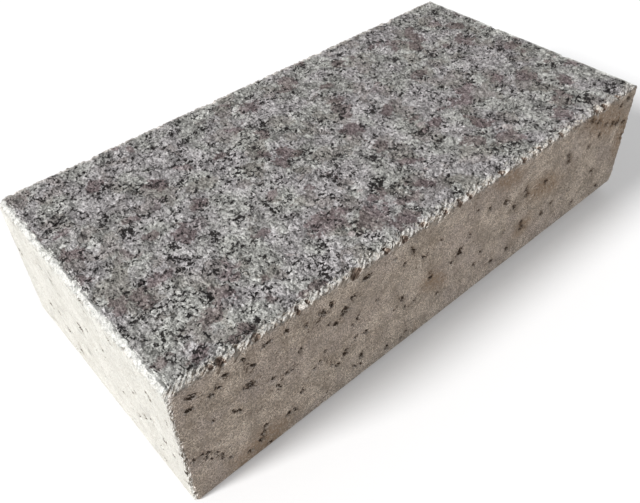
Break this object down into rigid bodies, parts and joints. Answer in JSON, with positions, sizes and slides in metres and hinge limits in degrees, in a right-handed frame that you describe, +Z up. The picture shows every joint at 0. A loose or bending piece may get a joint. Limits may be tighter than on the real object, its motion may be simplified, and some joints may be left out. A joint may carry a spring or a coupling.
{
  "type": "granite paving stone",
  "caption": "Rectangular granite paver with a flamed wearing face, crushed upper arrises, sawn sides and a long rough spall along one edge of the bed.",
  "frame": {"origin": "centre of the bed, on the level that the stone lies on", "axes": "+X along the length, from the near end to the far end; +Z up, out of the wearing face; the front, with the spalled bed edge, is at -Y"},
  "size_m": [0.2, 0.1, 0.05],
  "materials": {
    "granite": "flamed wearing face, sawn sides, rough where broken"
  },
  "bodies": {
    "root": {"paving_stone": "granite"}
  },
  "joints": []
}
